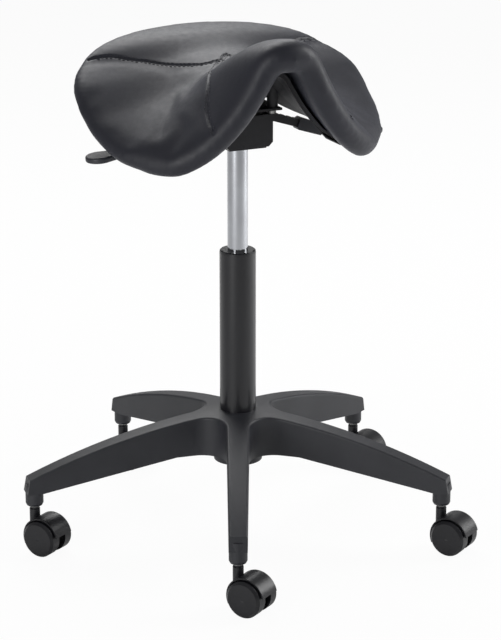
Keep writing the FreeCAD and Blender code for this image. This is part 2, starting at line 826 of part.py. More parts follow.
def make_seat_plate():
    top = PLATE_Z + PLATE_THICKNESS
    plate = box(-PLATE_HALF_WIDTH, PLATE_FRONT_Y, PLATE_Z, PLATE_HALF_WIDTH, PLATE_REAR_Y, top)
    inner = FLANGE_OUTER_X - FLANGE_THICKNESS
    for side in (-1, 1):
        low_x = min(side * inner, side * FLANGE_OUTER_X)
        profile = [
            vec(low_x, PIVOT_Y - FLANGE_EAR_R, PLATE_Z),
            vec(low_x, PIVOT_Y - FLANGE_EAR_R, PIVOT_Z),
            vec(low_x, PIVOT_Y + FLANGE_EAR_R, PIVOT_Z),
            vec(low_x, PIVOT_Y + 2 * FLANGE_EAR_R, FLANGE_BOTTOM_Z),
            vec(low_x, FLANGE_REAR_Y, FLANGE_BOTTOM_Z),
            vec(low_x, FLANGE_REAR_Y + 2 * FLANGE_EAR_R, PLATE_Z),
        ]
        flange = polygon_face(profile).extrude(vec(FLANGE_THICKNESS, 0, 0))
        ear = bar_x(FLANGE_EAR_R, low_x, low_x + FLANGE_THICKNESS, PIVOT_Y, PIVOT_Z)
        plate = plate.fuse(flange).fuse(ear)
    reach = FLANGE_OUTER_X + PLATE_THICKNESS
    plate = plate.cut(bar_x(PIVOT_R + FIT, -reach, reach, PIVOT_Y, PIVOT_Z))
    window = LEVER_HALF_WIDTH + LEVER_WINDOW
    plate = plate.cut(box(-reach, -window, PIVOT_Z, 0, window, PLATE_Z - FLAT_GAP))
    for x, y in bolt_places():
        plate = plate.cut(disc(BOLT_R + BOLT_HOLE_CLEARANCE, PLATE_Z, top, x, y))
    return plate.removeSplitter()


def bolt_places():
    return [(x, y) for x in (-BOLT_X, BOLT_X) for y in (BOLT_FRONT_Y, BOLT_REAR_Y)]


def make_seat_bolts():
    top = PLATE_Z + PLATE_THICKNESS + BOLT_REACH
    bolts = []
    for x, y in bolt_places():
        bolt = disc(BOLT_HEAD_R, PLATE_Z - BOLT_HEAD, PLATE_Z, x, y)
        bolt = bolt.fuse(disc(BOLT_R, PLATE_Z, top, x, y))
        bolts.append(bolt.removeSplitter())
    return Part.makeCompound(bolts)


def make_threaded_inserts():
    low = PLATE_Z + PLATE_THICKNESS
    inserts = []
    for x, y in bolt_places():
        sleeve = disc(INSERT_R, low, low + BOLT_REACH, x, y)
        inserts.append(sleeve.cut(disc(BOLT_R, low, low + BOLT_REACH, x, y)))
    return Part.makeCompound(inserts)


# Levers, built pointing towards +X; the height lever is mirrored to -X


def lever_point(distance, above):
    """A point of the drooping arm: distance along it from the pivot, height across it."""
    droop = math.radians(LEVER_DROOP)
    x = LEVER_PIVOT_X + distance * math.cos(droop) + above * math.sin(droop)
    z = LEVER_PIVOT_Z - distance * math.sin(droop) + above * math.cos(droop)
    return vec(x, 0, z)


def slab_y(points, half_width):
    face = polygon_face([vec(p.x, -half_width, p.z) for p in points])
    return face.extrude(vec(0, 2 * half_width, 0))


def make_lever_arm(with_finger):
    half = ARM_THICKNESS / 2
    points = [lever_point(0, -LEVER_HUB_R), lever_point(LEVER_HUB_R, -half)]
    points += [lever_point(ARM_LENGTH, -half), lever_point(ARM_LENGTH, half)]
    distance = ARM_LENGTH - ARM_RIB_PITCH
    while distance > ARM_RIB_PITCH * 3:
        points.append(lever_point(distance, half))
        points.append(lever_point(distance - ARM_RIB_PITCH / 4, half - ARM_RIB_DEPTH))
        points.append(lever_point(distance - ARM_RIB_PITCH * 3 / 4, half - ARM_RIB_DEPTH))
        points.append(lever_point(distance - ARM_RIB_PITCH, half))
        distance -= 2 * ARM_RIB_PITCH
    points.append(lever_point(LEVER_HUB_R, half))
    points.append(lever_point(0, LEVER_HUB_R))
    arm = slab_y(points, LEVER_HALF_WIDTH)
    arm = arm.fuse(
        bar_y(LEVER_HUB_R, -LEVER_HALF_WIDTH, LEVER_HALF_WIDTH, LEVER_PIVOT_X, LEVER_PIVOT_Z)
    )
    if with_finger:
        arm = arm.fuse(release_finger())
    else:
        arm = arm.fuse(clamp_cam())
    pin_r = LEVER_PIN_R + FIT
    arm = arm.cut(
        bar_y(pin_r, -LEVER_HALF_WIDTH, LEVER_HALF_WIDTH, LEVER_PIVOT_X, LEVER_PIVOT_Z)
    )
    return arm.removeSplitter()


def release_finger():
    """The inner end of the height lever, which lies just over the release pin."""
    low = CYLINDER_TOP_Z + PIN_STANDOUT + FLAT_GAP
    points = [
        vec(-FINGER_TIP_X, 0, low),
        vec(LEVER_PIVOT_X / 2, 0, low),
        vec(LEVER_PIVOT_X, 0, LEVER_PIVOT_Z),
        vec(LEVER_PIVOT_X, 0, LEVER_PIVOT_Z + LEVER_HUB_R),
        vec(LEVER_PIVOT_X - LEVER_HUB_R, 0, low + FINGER_THICKNESS),
        vec(-FINGER_TIP_X, 0, low + FINGER_THICKNESS),
    ]
    return slab_y(points, LEVER_HALF_WIDTH)


def clamp_cam():
    """The cam on the tilt lever, which bears on the side flange of the seat plate."""
    x = FLANGE_OUTER_X + FLAT_GAP + CAM_R
    return bar_y(CAM_R, -LEVER_HALF_WIDTH, LEVER_HALF_WIDTH, x, LEVER_PIVOT_Z)


def paddle_outline():
    """Plan of the paddle as a closed wire: a narrow neck that swells to a round end."""
    neck = GRIP_HALF_WIDTH - GRIP_LIP
    wide = PADDLE_HALF_WIDTH
    lean = math.radians(70)
    start = vec(PADDLE_START_X, 0, 0)
    flank = vec(
        PADDLE_CENTRE_X - wide * math.cos(lean), wide * math.sin(lean), 0
    )
    end = vec(PADDLE_CENTRE_X + wide, 0, 0)
    edges = [
        Part.LineSegment(start + vec(0, -neck, 0), vec(flank.x, -flank.y, 0)).toShape(),
        Part.Arc(vec(flank.x, -flank.y, 0), end, flank).toShape(),
        Part.LineSegment(flank, start + vec(0, neck, 0)).toShape(),
        Part.LineSegment(start + vec(0, neck, 0), start + vec(0, -neck, 0)).toShape(),
    ]
    return Part.Face(Part.Wire(edges))


def make_lever_handle():
    half = GRIP_THICKNESS / 2
    end = ARM_LENGTH + GRIP_LENGTH
    grip_points = [
        lever_point(ARM_LENGTH, -half + GRIP_LIP),
        lever_point(ARM_LENGTH + GRIP_LIP, -half),
        lever_point(end - GRIP_LIP, -half),
        lever_point(end, -half + 2 * GRIP_LIP),
        lever_point(end, half - 2 * GRIP_LIP),
        lever_point(end - GRIP_LIP, half - GRIP_LIP),
        lever_point(ARM_LENGTH + GRIP_LIP, half),
        lever_point(ARM_LENGTH, half - GRIP_LIP),
    ]
    grip = slab_y(grip_points, GRIP_HALF_WIDTH)
    neck_half = NECK_THICKNESS / 2
    paddle_low = PADDLE_Z - PADDLE_THICKNESS / 2
    paddle_high = PADDLE_Z + PADDLE_THICKNESS / 2
    rise = (PADDLE_CENTRE_X - PADDLE_START_X) * math.tan(math.radians(PADDLE_DROOP))
    neck_points = [
        lever_point(end - GRIP_LIP, -neck_half),
        vec(PADDLE_START_X + GRIP_LIP, 0, paddle_low + rise),
        vec(PADDLE_START_X + GRIP_LIP, 0, paddle_high + rise),
        lever_point(end - GRIP_LIP, neck_half),
    ]
    neck = slab_y(neck_points, GRIP_HALF_WIDTH - GRIP_LIP)
    paddle = paddle_outline().extrude(vec(0, 0, PADDLE_THICKNESS))
    paddle.translate(vec(0, 0, paddle_low))
    rim = [e for e in paddle.Edges if abs(e.BoundBox.ZMax - e.BoundBox.ZMin) < FIT]
    outer_rim = [e for e in rim if e.BoundBox.XMax > PADDLE_START_X + GRIP_LIP]
    paddle = paddle.makeFillet(PADDLE_THICKNESS / 3, outer_rim)
    paddle.rotate(vec(PADDLE_CENTRE_X, 0, PADDLE_Z), vec(0, 1, 0), PADDLE_DROOP)
    return grip.fuse(neck).fuse(paddle).removeSplitter()


# Saddle seat


def saddle_values(y):
    """The section values at one place along the seat, smooth through the listed sections."""
    rows = SADDLE_SECTIONS
    last = len(rows) - 1
    i = 0
    while i < last - 1 and y > rows[i + 1][0]:
        i += 1
    y0 = rows[i][0]
    y1 = rows[i + 1][0]
    t = (y - y0) / (y1 - y0)
    t = min(1.0, max(0.0, t))
    values = []
    for column in range(1, len(rows[0])):
        a = rows[i][column]
        b = rows[i + 1][column]
        slope_a = end_slope(rows, i, column) * (y1 - y0)
        slope_b = end_slope(rows, i + 1, column) * (y1 - y0)
        h0 = 2 * t**3 - 3 * t**2 + 1
        h1 = t**3 - 2 * t**2 + t
        h2 = -2 * t**3 + 3 * t**2
        h3 = t**3 - t**2
        values.append(h0 * a + h1 * slope_a + h2 * b + h3 * slope_b)
    return values


def end_slope(rows, i, column):
    """The slope of one listed value along the seat, flat where the value turns round."""
    last = len(rows) - 1
    if i == 0 or i == last:
        near = min(i, last - 1)
        rise = rows[near + 1][column] - rows[near][column]
        return rise / (rows[near + 1][0] - rows[near][0])
    before = (rows[i][column] - rows[i - 1][column]) / (rows[i][0] - rows[i - 1][0])
    after = (rows[i + 1][column] - rows[i][column]) / (rows[i + 1][0] - rows[i][0])
    if before * after <= 0:
        return 0.0
    return 2 * before * after / (before + after)


def biarc(crown_z, half_width, edge_z, crown_r, edge_deg):
    """The angle where the crown arc ends and the flank arc's radius."""
    slope = math.radians(edge_deg)
    low = slope + 0.01
    high = math.radians(88)
    for _ in range(50):
        angle = (low + high) / 2
        flank_r = (half_width - crown_r * math.sin(angle)) / (
            math.sin(angle) - math.sin(slope)
        )
        drop = crown_r * (1 - math.cos(angle)) + flank_r * (
            math.cos(slope) - math.cos(angle)
        )
        if drop < crown_z - edge_z:
            low = angle
        else:
            high = angle
    return angle, flank_r


class Curve:
    """One side of a saddle section: a crown arc, then a flank arc that turns out again."""

    def __init__(self, crown_z, half_width, edge_z, crown_r, edge_deg):
        self.crown_z = crown_z
        self.crown_r = crown_r
        self.half_width = half_width
        self.slope = math.radians(edge_deg)
        self.turn, self.flank_r = biarc(crown_z, half_width, edge_z, crown_r, edge_deg)
        self.join_x = crown_r * math.sin(self.turn)

    def slope_at(self, x):
        """The surface slope in radians at a distance from the middle."""
        if x < self.join_x:
            return math.asin(x / self.crown_r)
        share = math.sin(self.turn) - (x - self.join_x) / self.flank_r
        return math.asin(max(share, math.sin(self.slope)))

    def point(self, x, lower):
        """(x, z) of the curve at a distance from the middle, moved down square to it."""
        angle = self.slope_at(x)
        if x < self.join_x:
            z = self.crown_z - self.crown_r * (1 - math.cos(angle))
        else:
            z = self.crown_z - self.crown_r * (1 - math.cos(self.turn))
            z -= self.flank_r * (math.cos(angle) - math.cos(self.turn))
            z -= max(0.0, x - self.half_width) * math.tan(self.slope)
        return x - lower * math.sin(angle), z - lower * math.cos(angle)


def plan_half_width(y, inset):
    """Half of the oval plan's width at one place along the seat, moved in by the inset."""
    rear = y > PLAN_CENTRE_Y
    reach = (PLAN_REAR if rear else PLAN_FRONT) - inset
    power = PLAN_REAR_POWER if rear else PLAN_FRONT_POWER
    share = min(1.0, abs(y - PLAN_CENTRE_Y) / reach)
    return (PLAN_HALF_WIDTH - inset) * (1 - share**power) ** (1 / power)


def plan_end(half_width, rear, inset):
    """The place along the seat where the oval plan narrows to that half width."""
    reach = (PLAN_REAR if rear else PLAN_FRONT) - inset
    power = PLAN_REAR_POWER if rear else PLAN_FRONT_POWER
    share = half_width / (PLAN_HALF_WIDTH - inset)
    offset = reach * (1 - share**power) ** (1 / power)
    return PLAN_CENTRE_Y + (offset if rear else -offset)


def edge_thickness(y):
    """Depth of the rolled edge, which is thinner over the levers than at the pommel."""
    front = min(1.0, max(0.0, (SIDE_EDGE_Y - y) / SIDE_EDGE_RAMP))
    return SIDE_EDGE_THICKNESS + (FRONT_EDGE_THICKNESS - SIDE_EDGE_THICKNESS) * front


def pad_depth(x, half_width, y):
    """Thickness of the padding at a distance from the middle."""
    front = min(1.0, max(0.0, (POMMEL_START_Y - y) / POMMEL_RAMP))
    middle = MIDDLE_THICKNESS + POMMEL_EXTRA * front
    share = min(1.0, x / half_width) ** 2
    return edge_thickness(y) * share + middle * (1 - share)


def arc_through(points, y):
    a, b, c = [vec(x, y, z) for x, z in points]
    return Part.Arc(a, b, c).toShape()


def curve_arcs(places, y):
    """Crown and flank arcs through the points at the join, midway and at the edge."""
    crown, join, middle, edge = places
    right = [join, middle, edge]
    left = [(-x, z) for x, z in reversed(right)]
    return [arc_through(left, y), arc_through([left[2], crown, join], y), arc_through(right, y)]


def section_places(curve, half_width, lower):
    """The crown, join, middle and edge points of a section, each moved down by its depth."""
    join = min(curve.join_x, CROWN_SHARE * half_width)
    middle = (join + half_width) / 2
    return [curve.point(x, lower(x)) for x in (0, join, middle, half_width)]


def flipped(edges):
    return [edges[2], edges[1], edges[0]]


def edge_roll(curve, half_width, inset, y, station_y, side):
    """Two quarter arcs round the padded edge."""
    slope = curve.slope_at(half_width)
    tip_x, tip_z = curve.point(half_width, edge_thickness(y) / 2)
    radius = edge_thickness(y) / 2 - inset
    arcs = []
    for start in (0, 90):
        points = []
        for step in (0, 45, 90):
            angle = slope + math.radians(start + step)
            x = tip_x + radius * math.sin(angle)
            z = tip_z + radius * math.cos(angle)
            points.append((side * x, z))
        arcs.append(arc_through(points, station_y))
    return arcs


def cushion_wire(y, station_y, inset):
    curve = Curve(*saddle_values(y))
    half = plan_half_width(y, edge_thickness(y) / 2)
    upper = curve_arcs(section_places(curve, half, lambda x: inset), station_y)
    places = section_places(curve, half, lambda x: pad_depth(x, half, y) - inset)
    lower = curve_arcs(places, station_y)
    right = edge_roll(curve, half, inset, y, station_y, 1)
    left = edge_roll(curve, half, inset, y, station_y, -1)
    return Part.Wire(upper + right + flipped(lower) + [left[1], left[0]])


def span_stations():
    """The places along the seat where its sections are drawn."""
    front = plan_end(FRONT_NOSE_HALF_WIDTH, False, FRONT_EDGE_THICKNESS / 2)
    rear = plan_end(REAR_NOSE_HALF_WIDTH, True, SIDE_EDGE_THICKNESS / 2)
    return [front + (rear - front) * i / SPAN_STEPS for i in range(SPAN_STEPS + 1)]


def nose_wire(station, end, angle):
    """A section of the rounded front or rear end."""
    turn = math.radians(angle)
    inset = edge_thickness(station) / 2 * (1 - math.cos(turn))
    return cushion_wire(station, station + (end - station) * math.sin(turn), inset)


def make_seat_cushion():
    stations = span_stations()
    front_end = PLAN_CENTRE_Y - PLAN_FRONT
    rear_end = PLAN_CENTRE_Y + PLAN_REAR
    wires = [nose_wire(stations[0], front_end, angle) for angle in ROLL_ANGLES]
    wires += [cushion_wire(y, y, 0) for y in stations]
    wires += [nose_wire(stations[-1], rear_end, angle) for angle in reversed(ROLL_ANGLES)]
    return Part.makeLoft(wires, True, True)


def layer_places(y, gap, inset):
    """Points of a layer that lies under the padding, at a depth below it."""
    curve = Curve(*saddle_values(y))
    half = plan_half_width(y, edge_thickness(y) / 2)
    return section_places(curve, half - inset, lambda x: pad_depth(x, half, y) + gap)


def layer_wire(y, top_gap, thickness, inset):
    """Section of a shell that lies under the cushion, between two depths below it."""
    high = layer_places(y, top_gap, inset)
    low = layer_places(y, top_gap + thickness, inset)
    ends = []
    for side in (1, -1):
        x0, z0 = high[-1]
        x1, z1 = low[-1]
        ends.append(Part.LineSegment(vec(side * x0, y, z0), vec(side * x1, y, z1)).toShape())
    edges = curve_arcs(high, y) + [ends[0]] + flipped(curve_arcs(low, y)) + [ends[1]]
    return Part.Wire(edges)


def make_layer(top_gap, thickness, inset):
    wires = []
    for y in span_stations()[1:-1]:
        wires.append(layer_wire(y, top_gap, thickness, inset))
    return Part.makeLoft(wires, True, True)


def boss_top_z(x, y):
    curve = Curve(*saddle_values(y))
    depth = pad_depth(abs(x), plan_half_width(y, edge_thickness(y) / 2), y)
    return curve.point(abs(x), depth + SHELL_GAP + SHELL_THICKNESS / 2)[1]


def make_seat_shell():
    shell = make_layer(SHELL_GAP, SHELL_THICKNESS, SHELL_INSET)
    above = make_layer(SHELL_GAP + SHELL_THICKNESS / 2 - BOSS_TRIM, BOSS_TRIM, SHELL_INSET)
    low = PLATE_Z + PLATE_THICKNESS
    for x, y in bolt_places():
        boss = disc(BOSS_R, low, boss_top_z(x, y) + BOSS_R, x, y)
        shell = shell.fuse(boss.cut(above))
    for x, y in bolt_places():
        shell = shell.cut(disc(INSERT_R, low, low + BOLT_REACH, x, y))
    return shell


def make_underside_cover():
    gap = SHELL_GAP + SHELL_THICKNESS + COVER_GAP
    cover = make_layer(gap, COVER_THICKNESS, SHELL_INSET - COVER_MARGIN)
    for x, y in bolt_places():
        cover = cover.cut(disc(BOSS_R, PLATE_Z, boss_top_z(x, y) + COVER_MARGIN, x, y))
    return cover


def build():
    os.makedirs("parts", exist_ok=True)
    export("star_base", make_star_base())
    export("castor_sockets", make_castor_sockets())
    export("outer_tube", make_outer_tube())
    export("guide_bush", make_guide_bush())
    export("tube_end_plate", make_tube_end_plate())
    export("lower_race", make_lower_race())
    export("roller_cage", make_roller_cage())
    export("upper_race", make_upper_race())
    export("piston_rod", make_piston_rod())
    export("retaining_clip", make_retaining_clip())
    export("bump_stop", make_bump_stop())
    export("gas_piston", make_gas_piston())
    export("gas_cylinder", make_gas_cylinder())
    export("rod_guide", make_rod_guide())
    export("release_pin", make_release_pin())
    export("mechanism_housing", make_mechanism_housing())
    export("pivot_pin", make_pivot_pin())
    export("height_lever_pin", make_lever_pin(-1))
    export("tilt_lever_pin", make_lever_pin(1))
    export("height_lever_arm", mirrored_x(make_lever_arm(True)))
    export("height_lever_handle", mirrored_x(make_lever_handle()))
    export("tilt_lever_arm", make_lever_arm(False))
    export("tilt_lever_handle", make_lever_handle())
    export("seat_plate", make_seat_plate())
    export("seat_bolts", make_seat_bolts())
    export("threaded_inserts", make_threaded_inserts())
    export("seat_shell", make_seat_shell())
    export("underside_cover", make_underside_cover())
    export("seat_cushion", make_seat_cushion())
    hood = make_hood()
    stem = make_stem()
    axle = make_axle()
    for number, place in enumerate(stem_places(), start=1):
        export("hood_%d" % number, castor_frame(hood, place))
        export("stem_%d" % number, castor_frame(stem, place))
        export("axle_%d" % number, castor_frame(axle, place))
        export("wheel_left_%d" % number, castor_frame(make_wheel(1), place))
        export("wheel_right_%d" % number, castor_frame(make_wheel(-1), place))


build()
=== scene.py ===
"""Looks of a saddle stool: padded saddle seat, tilt mechanism, gas lift column, castor base."""

import json
import math

import bmesh
import bpy
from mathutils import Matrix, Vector
from mathutils.bvhtree import BVHTree
from mathutils.kdtree import KDTree


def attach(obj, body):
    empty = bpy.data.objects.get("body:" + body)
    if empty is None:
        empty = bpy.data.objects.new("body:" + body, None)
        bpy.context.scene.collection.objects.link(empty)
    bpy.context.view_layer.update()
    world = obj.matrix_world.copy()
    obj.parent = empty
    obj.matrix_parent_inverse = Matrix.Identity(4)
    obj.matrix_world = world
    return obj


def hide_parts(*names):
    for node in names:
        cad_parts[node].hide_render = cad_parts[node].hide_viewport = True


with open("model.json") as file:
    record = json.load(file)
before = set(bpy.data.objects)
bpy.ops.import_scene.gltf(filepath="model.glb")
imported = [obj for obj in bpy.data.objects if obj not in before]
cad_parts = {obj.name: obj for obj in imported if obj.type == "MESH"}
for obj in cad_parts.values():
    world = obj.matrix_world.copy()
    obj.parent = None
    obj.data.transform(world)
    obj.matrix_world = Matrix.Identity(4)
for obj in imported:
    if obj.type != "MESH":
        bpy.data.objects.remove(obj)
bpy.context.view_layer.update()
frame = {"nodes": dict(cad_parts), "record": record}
nodes = frame["nodes"]
MM = 0.001

# Camera: distance from the column and height in metres, angles in degrees
CAMERA_AZIMUTH = -24.4
CAMERA_DISTANCE = 3.237
CAMERA_HEIGHT = 1.329
CAMERA_PITCH = 17.61
CAMERA_YAW = 0.31
CAMERA_LENS = 138.6
SENSOR_WIDTH = 36.0

# Colours of the surfaces, linear
WHITE = (1.0, 1.0, 1.0)
LEATHER_DARK = (0.0095, 0.0100, 0.0165)
LEATHER_LIGHT = (0.0175, 0.0185, 0.0280)
NYLON_DARK = (0.019, 0.020, 0.025)
NYLON_LIGHT = (0.028, 0.029, 0.035)
LACQUER = (0.004, 0.004, 0.006)
POWDER_DARK = (0.005, 0.005, 0.008)
POWDER_LIGHT = (0.010, 0.010, 0.014)
GRIP_DARK = (0.018, 0.019, 0.025)
GRIP_LIGHT = (0.030, 0.032, 0.041)
CASTOR_DARK = (0.006, 0.006, 0.008)
CASTOR_LIGHT = (0.012, 0.012, 0.015)
COVER_DARK = (0.026, 0.026, 0.029)
COVER_LIGHT = (0.040, 0.040, 0.044)
CHROME_DULL = (0.50, 0.51, 0.54)
CHROME = (0.58, 0.60, 0.63)
ZINC_DULL = (0.42, 0.42, 0.41)
ZINC = (0.55, 0.55, 0.53)
THREAD = (0.030, 0.032, 0.040)
RUBBER_DARK = (0.012, 0.012, 0.012)
RUBBER_LIGHT = (0.022, 0.022, 0.022)
SHEEN_TINT = (0.75, 0.80, 1.0)
FLOOR_GREY = (0.9, 0.9, 0.9)

# Surface detail: cells or clouds to the metre
LEATHER_CLOUD = 9.0
LEATHER_CREASE = 130.0
LEATHER_PEBBLE = 950.0
LEATHER_PORE = 2400.0
PLASTIC_CLOUD = 14.0
ORANGE_PEEL = 420.0
LACQUER_DRAWN = 260.0
CHROME_DRAWN = 500.0
ZINC_SPANGLE = 600.0
THREAD_TWIST = 1800.0
RUBBER_GRAIN = 800.0

# Studio, in metres and watts: name, place, width, height and power of each lamp
LAMPS = (
    ("left_softbox", (-2.6, -1.6, 0.9), 1.0, 1.6, 34.0),
    ("top_softbox", (0.5, 1.9, 2.3), 1.8, 1.4, 40.0),
    ("right_strip", (2.4, -0.5, 1.4), 0.9, 1.8, 42.0),
)
LAMP_TARGET = (0.0, 0.0, 0.4)
WORLD_STRENGTH = 0.24
FLOOR_SIZE = 14.0
FLOOR_SHOWN_WHITE = 0.95

# Saddle seat, in millimetres and degrees. Each section lists the distance Y, the crown's height,
# half of the width, the edge's height, the crown's radius and the edge's slope.
SADDLE_SECTIONS = (
    (-165.0, 724.0, 137.0, 557.0, 49.0, 47.0),
    (-110.0, 712.0, 145.0, 573.0, 68.0, 38.0),
    (-55.0, 688.0, 187.0, 576.0, 90.0, 21.0),
    (0.0, 661.0, 207.0, 598.0, 125.0, 8.0),
    (60.0, 668.0, 193.0, 637.0, 250.0, 6.0),
    (115.0, 685.0, 172.0, 662.0, 720.0, 4.0),
    (168.0, 690.0, 126.0, 682.0, 1200.0, 2.0),
)
PLAN_HALF_WIDTH = 213.0
PLAN_CENTRE_Y = 34.0
PLAN_FRONT = 210.0
PLAN_REAR = 135.0
PLAN_FRONT_POWER = 2.3
PLAN_REAR_POWER = 2.2
FRONT_EDGE_THICKNESS = 36.0
SIDE_EDGE_THICKNESS = 24.0
POMMEL_EXTRA = 9.0
MIDDLE_THICKNESS = 34.0
FRONT_EDGE_Y = -25.0
POMMEL_START_Y = -80.0
EDGE_RAMP = 60.0
POMMEL_WIDTH = 35.0
SOLVER_STEPS = 40
STEEPEST_TURN = 88.0

# Mesh of the pad: points to a ring, rings on the top, steps round the rolled edge
RING_POINTS = 180
TOP_RINGS = 22
ROLL_STEPS = 10
RING_CROWDING = 1.3

# Foam and seams, in millimetres
PAD_SWELL = 1.5
PAD_VOXEL = 4.5
PAD_CAP = 1.6
FIRST_SMOOTHING = 6
LAST_SMOOTHING = 14
CLOTH_FRAMES = 20
CLOTH_PRESSURE = 4.0
CLOTH_TENSION = 30
CLOTH_BENDING = 5
SEAM_HOLD = 12.0
SEAM_DEPTH = 3.2
SEAM_HALF_WIDTH = 3.0
SEAM_REACH = 4
SEAM_SHARPNESS = 2.2
SEAM_STEPS = 40
STITCH_LENGTH = 4.2
STITCH_PITCH = 6.0
STITCH_RADIUS = 0.45
STITCH_OFFSET = 4.2
STITCH_LIFT = 0.3
STITCH_SIDES = 6
# Place along half of a stitch, and its thickness there
STITCH_PROFILE = ((-1.0, 0.3), (-0.6, 1.0), (0.0, 1.1), (0.6, 1.0), (1.0, 0.3))

# Seams as plan points (x, y) in millimetres
POMMEL_SEAM = ((0, 40), (12, 23), (46, -18), (64, -54), (82, -89), (94, -115), (101, -148))
CANTLE_SEAM = (
    (12, 23),
    (37, 23),
    (59, 39),
    (81, 57),
    (97, 71),
    (120, 86),
    (143, 101),
    (172, 109),
)


# Materials


def new_material(name, roughness, metallic=0.0):
    material = bpy.data.materials.new(name)
    material.use_nodes = True
    shader = material.node_tree.nodes["Principled BSDF"]
    shader.inputs["Roughness"].default_value = roughness
    shader.inputs["Metallic"].default_value = metallic
    return material, shader


def object_point(material):
    return material.node_tree.nodes.new("ShaderNodeTexCoord").outputs["Object"]


def noise(material, point, scale, detail=3.0, roughness=0.55):
    node = material.node_tree.nodes.new("ShaderNodeTexNoise")
    node.inputs["Scale"].default_value = scale
    node.inputs["Detail"].default_value = detail
    node.inputs["Roughness"].default_value = roughness
    material.node_tree.links.new(point, node.inputs["Vector"])
    return node.outputs["Fac"]


def cells(material, point, scale):
    node = material.node_tree.nodes.new("ShaderNodeTexVoronoi")
    node.feature = "DISTANCE_TO_EDGE"
    node.inputs["Scale"].default_value = scale
    material.node_tree.links.new(point, node.inputs["Vector"])
    return node.outputs["Distance"]


def stretched(material, point, scale):
    node = material.node_tree.nodes.new("ShaderNodeMapping")
    node.inputs["Scale"].default_value = scale
    material.node_tree.links.new(point, node.inputs["Vector"])
    return node.outputs["Vector"]


def ranged(material, value, low, high, from_low=0.0, from_high=1.0):
    node = material.node_tree.nodes.new("ShaderNodeMapRange")
    node.inputs["From Min"].default_value = from_low
    node.inputs["From Max"].default_value = from_high
    node.inputs["To Min"].default_value = low
    node.inputs["To Max"].default_value = high
    material.node_tree.links.new(value, node.inputs["Value"])
    return node.outputs["Result"]


def mottled(material, shader, value, dark, light):
    ramp = material.node_tree.nodes.new("ShaderNodeValToRGB")
    ramp.color_ramp.elements[0].position = 0.3
    ramp.color_ramp.elements[0].color = (*dark, 1.0)
    ramp.color_ramp.elements[1].position = 0.7
    ramp.color_ramp.elements[1].color = (*light, 1.0)
    material.node_tree.links.new(value, ramp.inputs["Fac"])
    material.node_tree.links.new(ramp.outputs["Color"], shader.inputs["Base Color"])


def bumped(material, shader, heights):
    """Stacks (height, distance, strength) bumps, the broadest first."""
    previous = None
    for height, distance, strength in heights:
        node = material.node_tree.nodes.new("ShaderNodeBump")
        node.inputs["Distance"].default_value = distance
        node.inputs["Strength"].default_value = strength
        material.node_tree.links.new(height, node.inputs["Height"])
        if previous is not None:
            material.node_tree.links.new(previous, node.inputs["Normal"])
        previous = node.outputs["Normal"]
    material.node_tree.links.new(previous, shader.inputs["Normal"])


def varied_roughness(material, shader, value, low, high):
    result = ranged(material, value, low, high, 0.3, 0.7)
    material.node_tree.links.new(result, shader.inputs["Roughness"])


def synthetic_leather():
    """Soft embossed synthetic leather: pebbled grain, faint pores and a low blue-grey sheen."""
    material, shader = new_material("synthetic_leather", 0.45)
    point = object_point(material)
    broad = noise(material, point, LEATHER_CLOUD, 4.0)
    pebble = cells(material, point, LEATHER_PEBBLE)
    pores = noise(material, point, LEATHER_PORE, 2.0)
    creases = noise(material, point, LEATHER_CREASE, 4.0, 0.6)
    mottled(material, shader, broad, LEATHER_DARK, LEATHER_LIGHT)
    varied_roughness(material, shader, creases, 0.46, 0.56)
    bumped(
        material,
        shader,
        [(creases, 0.0006, 0.10), (pebble, 0.0005, 0.22), (pores, 0.0001, 0.15)],
    )
    shader.inputs["Sheen Weight"].default_value = 0.05
    shader.inputs["Sheen Roughness"].default_value = 0.45
    shader.inputs["Sheen Tint"].default_value = (*SHEEN_TINT, 1.0)
    shader.inputs["Specular IOR Level"].default_value = 0.5
    return material


def moulded_plastic(name, dark, light, roughness, grain, depth):
    """Moulded plastic with a spark-eroded grain."""
    material, shader = new_material(name, roughness)
    point = object_point(material)
    cloud = noise(material, point, PLASTIC_CLOUD, 3.0)
    fine = noise(material, point, grain, 2.0, 0.6)
    mottled(material, shader, cloud, dark, light)
    varied_roughness(material, shader, fine, roughness - 0.05, roughness + 0.06)
    bumped(material, shader, [(fine, depth, 0.35)])
    return material


def powder_coat():
    material, shader = new_material("black_powder_coat", 0.38)
    point = object_point(material)
    orange_peel = noise(material, point, ORANGE_PEEL, 2.0)
    mottled(material, shader, noise(material, point, 30.0), POWDER_DARK, POWDER_LIGHT)
    varied_roughness(material, shader, orange_peel, 0.32, 0.44)
    bumped(material, shader, [(orange_peel, 0.0003, 0.25)])
    return material


def black_lacquer():
    """Gloss black lacquer over steel tube, with a clear top coat."""
    material, shader = new_material("black_lacquer", 0.34)
    point = object_point(material)
    drawn = noise(material, stretched(material, point, (1.0, 1.0, 0.05)), LACQUER_DRAWN, 3.0)
    mottled(material, shader, noise(material, point, 20.0), LACQUER, POWDER_DARK)
    varied_roughness(material, shader, drawn, 0.28, 0.38)
    bumped(material, shader, [(drawn, 0.0001, 0.12)])
    shader.inputs["Coat Weight"].default_value = 0.3
    shader.inputs["Coat Roughness"].default_value = 0.12
    return material


def polished_chrome():
    material, shader = new_material("polished_chrome", 0.12, 1.0)
    point = object_point(material)
    drawn = noise(material, stretched(material, point, (1.0, 1.0, 0.03)), CHROME_DRAWN, 3.0)
    mottled(material, shader, noise(material, point, 25.0), CHROME_DULL, CHROME)
    varied_roughness(material, shader, drawn, 0.09, 0.16)
    bumped(material, shader, [(drawn, 0.00005, 0.10)])
    return material


